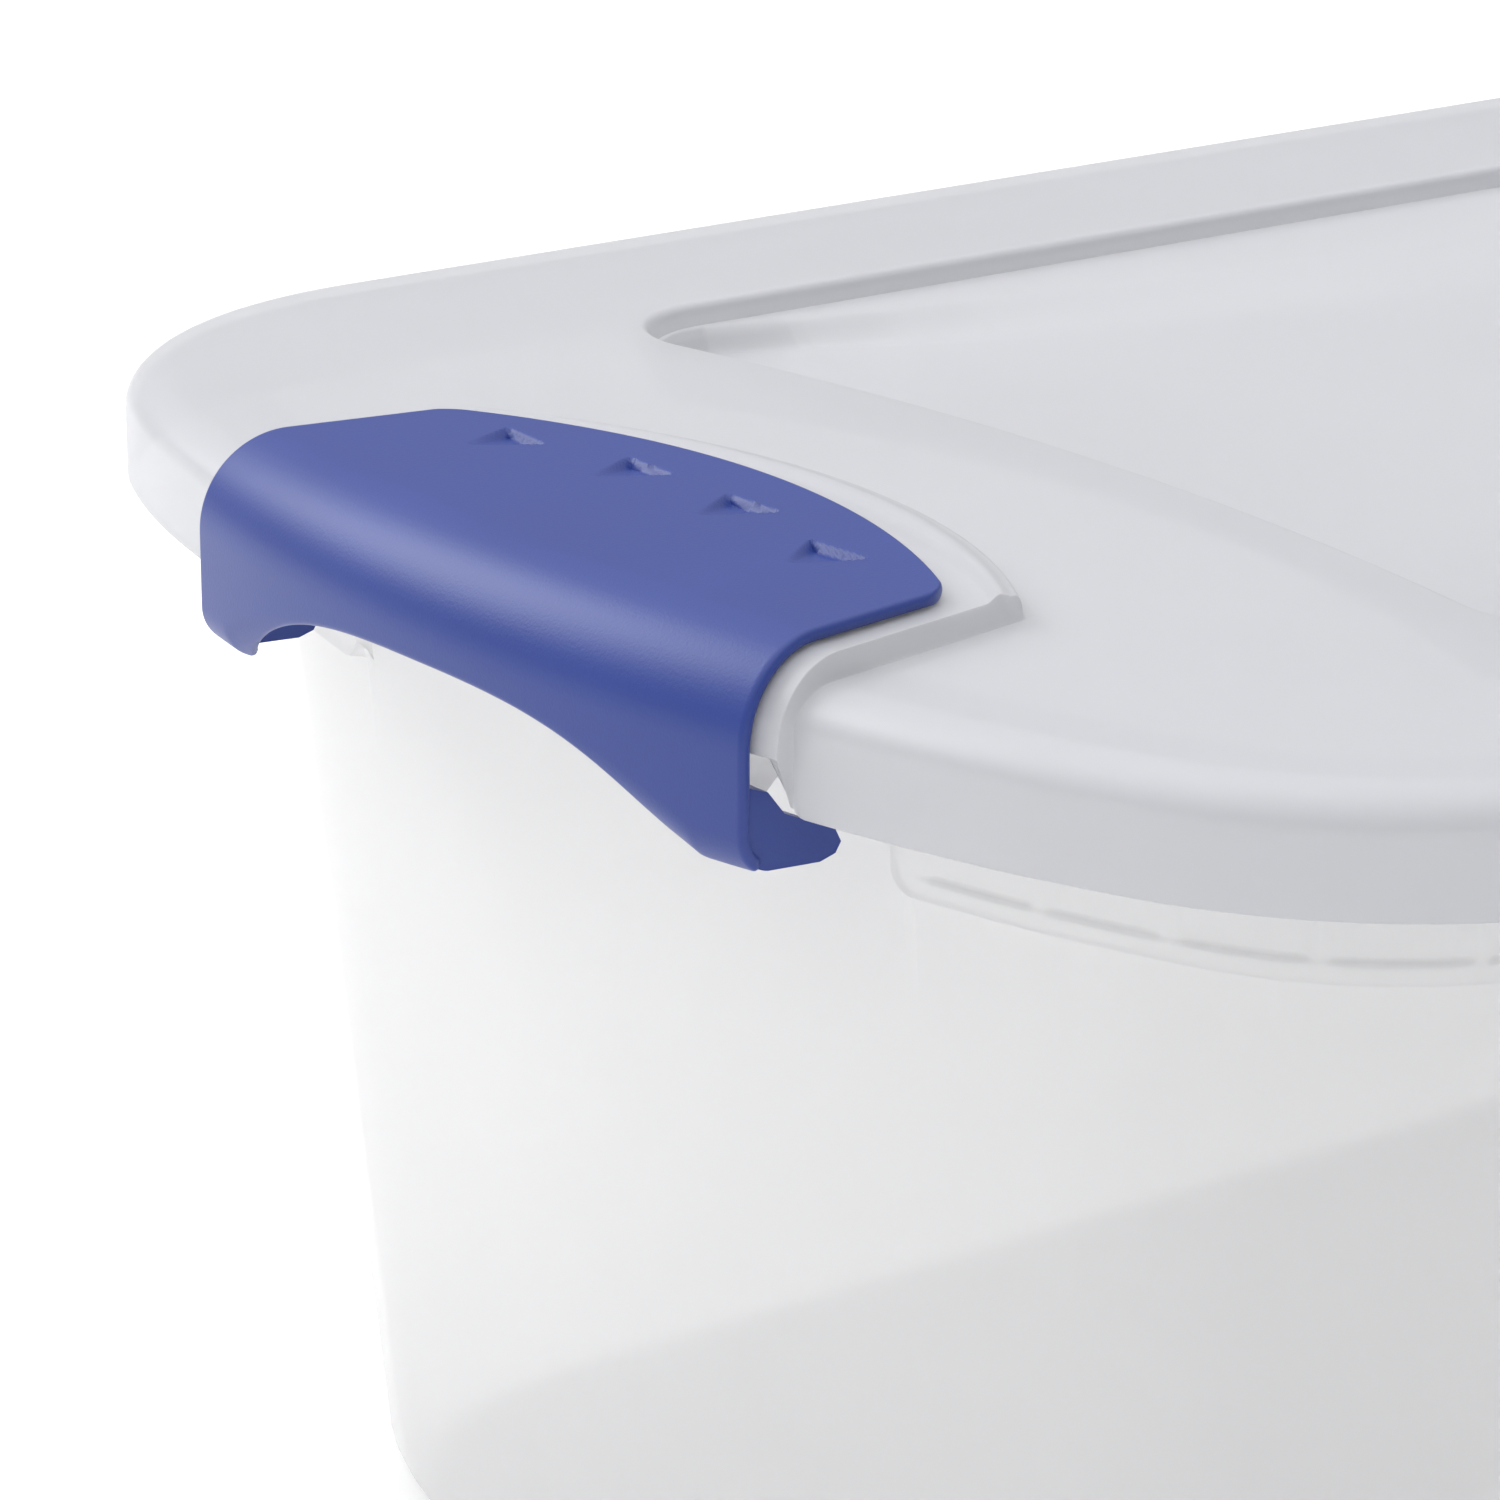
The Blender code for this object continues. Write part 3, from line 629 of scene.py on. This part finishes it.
def hanger(hand, side):
    """A plate under the rim that ends in a round knuckle, against which the hinge pin's tip stands."""
    edge = bow(HANGER_OUTER) + RIM_EDGE
    top = RIM_TOP - sizes().wall / 2
    low = RIM_EDGE_TOP - sizes().wall / 2
    wall = bow(HANGER_OUTER) + TUB_INSET - TUB_DRAFT * (top + COLLAR_DROP) + sizes().wall / 2
    pv, ph = PIVOT_INSET, -PIVOT_DROP
    knuckle = np.radians(np.linspace(38, -168, 25))
    outline = [(edge + 0.0008, low + 0.0004), (edge + RIM_SHOULDER, top), (wall, top)]
    outline += [(wall, top - HANGER_WEB), (pv + HANGER_NECK, top - HANGER_NECK)]
    outline += [(pv + KNUCKLE_RADIUS * math.cos(t), ph + KNUCKLE_RADIUS * math.sin(t)) for t in knuckle]
    points, faces = prism(outline, hand * HANGER_INNER, hand * HANGER_OUTER)
    return end_world(points, side), faces


def rounded(distance, radius):
    """Share of full thickness at this distance from an edge with a round nose."""
    return np.sqrt(np.clip(1 - (1 - np.clip(distance / radius, 0, 1)) ** 2, 0, 1))


def grip_depth(inset, theta):
    """Depth of the wedge pockets: triangles that point outwards and deepen inwards."""
    depth = np.zeros_like(inset)
    for k in range(GRIP_MARKS):
        t = 2 * k / (GRIP_MARKS - 1) - 1
        centre = GRIP_SPREAD * t
        middle = LATCH_BACK - GRIP_BACK - GRIP_SWEEP * t * t
        p = (inset - middle) / GRIP_HALF_LENGTH
        q = (theta - centre) * (END_RADIUS - middle) / GRIP_HALF_WIDTH
        margin = np.minimum((p + 1) / 2 - np.abs(q), (1 - p) * 0.9)
        well = GRIP_DEPTH * np.clip((p + 1.0) / 2.0, 0, 1) * ease(margin, 0.0, 0.14)
        depth = np.maximum(depth, well)
    return depth


def latch_profile(theta):
    """The latch's middle surface at each angle, as (inset, height), and its outward normal.

    It runs from the back edge over the flat top, round the bend, down the front and into the curled lip.
    """
    wall = sizes().latch_wall
    u0 = np.abs(END_RADIUS * np.sin(theta))
    t = np.clip(u0 / LATCH_END, 0, 1)
    grow = LATCH_GAP_END + LATCH_GAP_CROWN * (1 - t * t) + wall / 2
    droop = np.clip(u0 / HANGER_INNER, 0, 1) ** 2.5
    # the back corners and the lower corners are rounded off over the last few millimetres
    turned = np.abs(theta) / LATCH_ANGLE
    off = np.clip((turned - BACK_CORNER_START) / (1 - BACK_CORNER_START), 0, 1)
    back = back_edge(theta, LATCH_BACK, LATCH_BACK_RADIUS) - BACK_CORNER * (1 - np.sqrt(1 - off ** 2))
    low = np.clip((turned - LOW_CORNER_START) / (1 - LOW_CORNER_START), 0, 1)
    lost = LOW_CORNER_TURN * (1 - np.sqrt(1 - low ** 2))
    ci, ch = SEAT_BEND - SEAT_PROUD, SEAT_TOP - SEAT_BEND
    face = -SEAT_PROUD - grow
    start = LIP_ARCH * (1 - droop) - PIVOT_DROP * droop
    curl = np.radians(LIP_CURL + (LIP_CURL_END - LIP_CURL) * droop * droop - lost)
    radius = LIP_RADIUS * (1 - droop) + LIP_RADIUS_END * droop - wall / 2
    # shares of the way along the top, the bend, the front and the curl
    s_top = np.concatenate([np.linspace(0, 0.05, 8)[:-1], np.linspace(0.05, 1, 84)])[None, :]
    b = np.radians(np.linspace(0, 90, 26)[1:])[None, :]
    s_front = np.linspace(0, 1, 12)[None, 1:]
    s_curl = np.concatenate([np.linspace(0, 0.85, 14)[1:], np.linspace(0.85, 1, 8)[1:]])[None, :]
    c = curl * s_curl
    flat, front = 0 * theta + 0 * s_top, 0 * theta + 0 * s_front
    bend_i, bend_h = np.sin(b) + 0 * theta, np.cos(b) + 0 * theta
    r_bend = SEAT_BEND + grow
    top_i, curl_i = back + (ci - back) * s_top, face + radius * (1 - np.cos(c))
    inset = np.concatenate([top_i, ci - r_bend * bend_i, face + front, curl_i], 1)
    front_h, curl_h = ch + (start - ch) * s_front, start - radius * np.sin(c)
    height = np.concatenate([SEAT_TOP + grow + flat, ch + r_bend * bend_h, front_h, curl_h], 1)
    out_i = np.concatenate([flat, -bend_i, front - 1, -np.cos(c)], 1)
    out_h = np.concatenate([flat + 1, bend_h, front, -np.sin(c)], 1)
    return inset, height, out_i, out_h


def latch_shell():
    """(u, v, height) points and faces of one latch's skin.

    Half the wall is added to the middle surface along its normal on each side. It tapers to nothing at every
    edge.
    """
    side_share = np.linspace(0.955, 1, 14)[1:]
    theta = np.concatenate([-side_share[::-1], np.linspace(-0.955, 0.955, 190), side_share])
    theta = (theta * LATCH_ANGLE)[:, None]
    inset, height, out_i, out_h = latch_profile(theta)
    step = np.hypot(np.diff(inset, axis=1), np.diff(height, axis=1))
    along = np.concatenate([np.zeros_like(theta), np.cumsum(step, 1)], 1)
    to_side = (LATCH_ANGLE - np.abs(theta)) * END_RADIUS
    half = sizes().latch_wall / 2
    for distance in (along, along[:, -1:] - along, to_side):
        half = half * rounded(distance, LATCH_NOSE)
    sides = []
    for sign in (1, -1):
        i = inset + sign * half * out_i
        h = height + sign * half * out_h
        if sign > 0:
            h = h - grip_depth(i, theta) * (out_h > 0.9)
        reach = END_RADIUS - i
        sides.append(np.stack([reach * np.sin(theta), END_RADIUS - reach * np.cos(theta), h], -1))
    rows, cols = inset.shape
    faces = grid_faces(rows, cols, 0, False) + grid_faces(rows, cols, rows * cols, False)
    return np.concatenate([sides[0].reshape(-1, 3), sides[1].reshape(-1, 3)]), faces


def latch_ears():
    """The cheeks at the latch's ends and the hinge pins on them, as (u, v, height) bodies."""
    wall = sizes().latch_wall
    face = bow(LATCH_END) - SEAT_PROUD - LATCH_GAP_END - wall
    pv, ph = PIVOT_INSET, -PIVOT_DROP
    r = LIP_RADIUS_END - 0.0004
    cv = face + LIP_RADIUS_END
    outline = [(face + EAR_LAP, 0.0045), (face + EAR_LAP, 0.0)]
    outline += [(cv - r * math.cos(t), ph - r * math.sin(t)) for t in np.radians(np.linspace(18, 80, 12))]
    toe, drop = pv + EAR_TOE, ph - EAR_TOE_DROP
    outline += [(toe - 0.0038, drop - 0.0024), (toe - 0.0010, drop - 0.0016), (toe, drop)]
    outline += [(toe - 0.0010, drop + 0.0020), (pv + 0.0036, ph + 0.0020), (pv + 0.0006, ph + 0.0058)]
    turn = np.radians(np.arange(0, 360, 15))
    ring = np.column_stack([pv + PIN_RADIUS * np.cos(turn), ph + PIN_RADIUS * np.sin(turn)])
    bodies = []
    for hand in (-1, 1):
        bodies.append(prism(outline, hand * EAR_INNER, hand * (LATCH_END - EAR_TRIM)))
        bodies.append(prism(ring, hand * (EAR_INNER + 0.001), hand * (HANGER_OUTER + 0.0001)))
    return bodies


def make_latch(name, side, material):
    """One latch: its curved skin with cheeks and hinge pins."""
    points, faces = joined([latch_shell()] + latch_ears())
    return put_mesh(name + "_surface", end_world(points, side), faces, material, name, name, smooth_angle=55)


# ---- finishes -----------------------------------------------------------------------
def node(tree, kind, links=None, **settings):
    """Adds one node. settings are its properties, or input values by name; links are inputs by name."""
    made = tree.nodes.new(kind)
    for key, value in settings.items():
        name = key.replace("_", " ")
        if hasattr(made, key):
            setattr(made, key, value)
        else:
            made.inputs[name].default_value = value
    for name, socket in (links or {}).items():
        tree.links.new(socket, made.inputs[name])
    return made


def new_material(name, slot):
    """A material with its node tree and its shader. slot names the part's stored material."""
    material = bpy.data.materials.new(name)
    material.use_nodes = True
    material["slot"] = slot
    tree = material.node_tree
    return material, tree, tree.nodes["Principled BSDF"]


def tint(tree, shader, colour, scale, amount):
    """Lets the colour drift a little, as moulded plastic does with its flow. scale is in cycles per metre."""
    where = node(tree, "ShaderNodeTexCoord").outputs["Object"]
    cloud = node(tree, "ShaderNodeTexNoise", {"Vector": where}, Scale=scale, Detail=3.0)
    dark = [c * (1 - amount) for c in colour] + [1.0]
    ramp = node(tree, "ShaderNodeValToRGB", {"Fac": cloud.outputs["Fac"]})
    ramp.color_ramp.elements[0].position = 0.3
    ramp.color_ramp.elements[0].color = dark
    ramp.color_ramp.elements[1].position = 0.7
    ramp.color_ramp.elements[1].color = [*colour, 1.0]
    tree.links.new(ramp.outputs["Color"], shader.inputs["Base Color"])
    return where


def grain(tree, shader, where, size, height):
    """Fine bumps of a given size in metres."""
    noise = node(tree, "ShaderNodeTexNoise", {"Vector": where}, Scale=1 / size, Detail=2.0)
    bump = node(tree, "ShaderNodeBump", {"Height": noise.outputs["Fac"]}, Strength=0.5, Distance=height)
    tree.links.new(bump.outputs["Normal"], shader.inputs["Normal"])


def frosted_polypropylene(colour):
    """Frosted polypropylene, moulded against a satin tool: milky, with broad soft highlights."""
    material, tree, shader = new_material("frosted_polypropylene", "frosted_polypropylene")
    where = tint(tree, shader, colour, scale=9.0, amount=0.03)
    grain(tree, shader, where, size=0.0016, height=0.00003)
    shader.inputs["Roughness"].default_value = 0.34
    shader.inputs["IOR"].default_value = 1.49
    shader.inputs["Transmission Weight"].default_value = 0.15
    shader.inputs["Alpha"].default_value = 0.74
    return material


def clear_polypropylene(colour):
    """Natural polypropylene in a thin wall: milky clear, glossier than the lid."""
    material, tree, shader = new_material("clear_polypropylene", "clear_polypropylene")
    where = tint(tree, shader, colour, scale=6.0, amount=0.02)
    grain(tree, shader, where, size=0.0030, height=0.00002)
    shader.inputs["Roughness"].default_value = 0.28
    shader.inputs["IOR"].default_value = 1.49
    shader.inputs["Transmission Weight"].default_value = 0.20
    shader.inputs["Alpha"].default_value = 0.46
    return material


def blue_polypropylene(colour):
    """Blue polypropylene from a spark-eroded tool: satin, with a fine even grain in its highlight."""
    material, tree, shader = new_material("blue_polypropylene", "blue_polypropylene")
    where = tint(tree, shader, colour, scale=30.0, amount=0.06)
    grain(tree, shader, where, size=0.0005, height=0.00006)
    shader.inputs["Roughness"].default_value = 0.40
    shader.inputs["IOR"].default_value = 1.49
    return material


def studio_floor(colour):
    """Matt white studio paper."""
    material, tree, shader = new_material("studio_paper", "")
    shader.inputs["Base Color"].default_value = [*colour, 1.0]
    shader.inputs["Roughness"].default_value = 0.9
    shader.inputs["Specular IOR Level"].default_value = 0.1
    return material


# ---- stage --------------------------------------------------------------------------
FLOOR_REACH = 9
FLOOR_LINES = 19
FLOOR_LEVEL = -0.0005       # just under the box's base


def make_floor(material):
    """A large flat sheet under the object."""
    n = np.linspace(-FLOOR_REACH, FLOOR_REACH, FLOOR_LINES)
    x, y = np.meshgrid(n, n)
    points = np.stack([x, y, np.full_like(x, FLOOR_LEVEL)], -1)
    mesh = bpy.data.meshes.new("floor")
    mesh.from_pydata(points.reshape(-1, 3).tolist(), [], grid_faces(FLOOR_LINES, FLOOR_LINES, 0, False))
    mesh.materials.append(material)
    obj = bpy.data.objects.new("floor", mesh)
    bpy.context.scene.collection.objects.link(obj)


def area_light(name, place, target, size, power):
    """A rectangular light at a place, turned to face a target."""
    light = bpy.data.lights.new(name, "AREA")
    light.shape = "RECTANGLE"
    light.size, light.size_y = size
    light.energy = power
    obj = bpy.data.objects.new(name, light)
    obj.location = place
    obj.rotation_euler = (Vector(target) - Vector(place)).to_track_quat("-Z", "Y").to_euler()
    bpy.context.scene.collection.objects.link(obj)


def make_camera():
    """A long lens, a little above the lid, looking at one corner of the box."""
    camera = bpy.data.cameras.new("camera")
    camera.lens = 143.4
    camera.sensor_width = 36.0
    camera.clip_end = 50.0
    obj = bpy.data.objects.new("camera", camera)
    obj.location = (-0.8569, -0.7246, 0.4542)
    obj.rotation_euler = Vector((0.5649, 0.7670, -0.3041)).to_track_quat("-Z", "Y").to_euler()
    bpy.context.scene.collection.objects.link(obj)
    bpy.context.scene.camera = obj


def make_world(horizon, zenith):
    """A white sky whose strength rises from horizon to zenith with the square of the height."""
    world = bpy.data.worlds.new("studio")
    world.use_nodes = True
    tree = world.node_tree
    way = node(tree, "ShaderNodeTexCoord").outputs["Generated"]
    height = node(tree, "ShaderNodeSeparateXYZ", {"Vector": way}).outputs["Z"]
    square = node(tree, "ShaderNodeMath", {0: height, 1: height}, operation="MULTIPLY").outputs[0]
    strength = node(tree, "ShaderNodeMapRange", {"Value": square}, To_Min=horizon, To_Max=zenith)
    back = tree.nodes["Background"]
    back.inputs["Color"].default_value = (1.0, 1.0, 1.0, 1.0)
    tree.links.new(strength.outputs["Result"], back.inputs["Strength"])
    bpy.context.scene.world = world


# ---- operators ----------------------------------------------------------------------
class BOX_OT_tub(bpy.types.Operator):
    """Build the tub"""

    bl_idname = "box.tub"
    bl_label = "Tub"

    def execute(self, context):
        make_tub(clear_polypropylene(list(context.scene.box_colours.tub)))
        return {"FINISHED"}


class BOX_OT_lid(bpy.types.Operator):
    """Build the lid"""

    bl_idname = "box.lid"
    bl_label = "Lid"

    def execute(self, context):
        make_lid(frosted_polypropylene(list(context.scene.box_colours.lid)))
        return {"FINISHED"}


class BOX_OT_latches(bpy.types.Operator):
    """Build the two latches"""

    bl_idname = "box.latches"
    bl_label = "Latches"

    def execute(self, context):
        material = blue_polypropylene(list(context.scene.box_colours.latch))
        make_latch("latch_left", -1, material)
        make_latch("latch_right", 1, material)
        return {"FINISHED"}


class BOX_OT_stage(bpy.types.Operator):
    """Add the floor, the lights and the camera"""

    bl_idname = "box.stage"
    bl_label = "Stage"

    def execute(self, context):
        make_floor(studio_floor(list(context.scene.box_colours.floor)))
        make_world(horizon=0.30, zenith=1.95)
        area_light("key", place=(-1.2, 2.0, 1.7), target=(-0.3, 0, 0.15), size=(1.5, 1.5), power=30)
        make_camera()
        context.scene.view_settings.view_transform = "Standard"
        return {"FINISHED"}


class BOX_PT_panel(bpy.types.Panel):
    """Sizes, colours and build steps of the box"""

    bl_idname = "BOX_PT_panel"
    bl_label = "Under-bed box"
    bl_space_type = "VIEW_3D"
    bl_region_type = "UI"
    bl_category = "Box"

    def draw(self, context):
        for group in (context.scene.box_sizes, context.scene.box_colours):
            for name in group.__annotations__:
                self.layout.prop(group, name)
        for operator in BUILD_ORDER:
            self.layout.operator(operator)


BUILD_ORDER = ("box.tub", "box.lid", "box.latches", "box.stage")
CLASSES = (BoxSizes, BoxColours, BOX_OT_tub, BOX_OT_lid, BOX_OT_latches, BOX_OT_stage, BOX_PT_panel)


def register():
    for cls in CLASSES:
        bpy.utils.register_class(cls)
    bpy.types.Scene.box_sizes = PointerProperty(type=BoxSizes)
    bpy.types.Scene.box_colours = PointerProperty(type=BoxColours)


def unregister():
    del bpy.types.Scene.box_colours
    del bpy.types.Scene.box_sizes
    for cls in reversed(CLASSES):
        bpy.utils.unregister_class(cls)


def main():
    register()
    bpy.ops.box.tub()
    bpy.ops.box.lid()
    bpy.ops.box.latches()
    bpy.ops.box.stage()


if __name__ == "__main__":
    main()
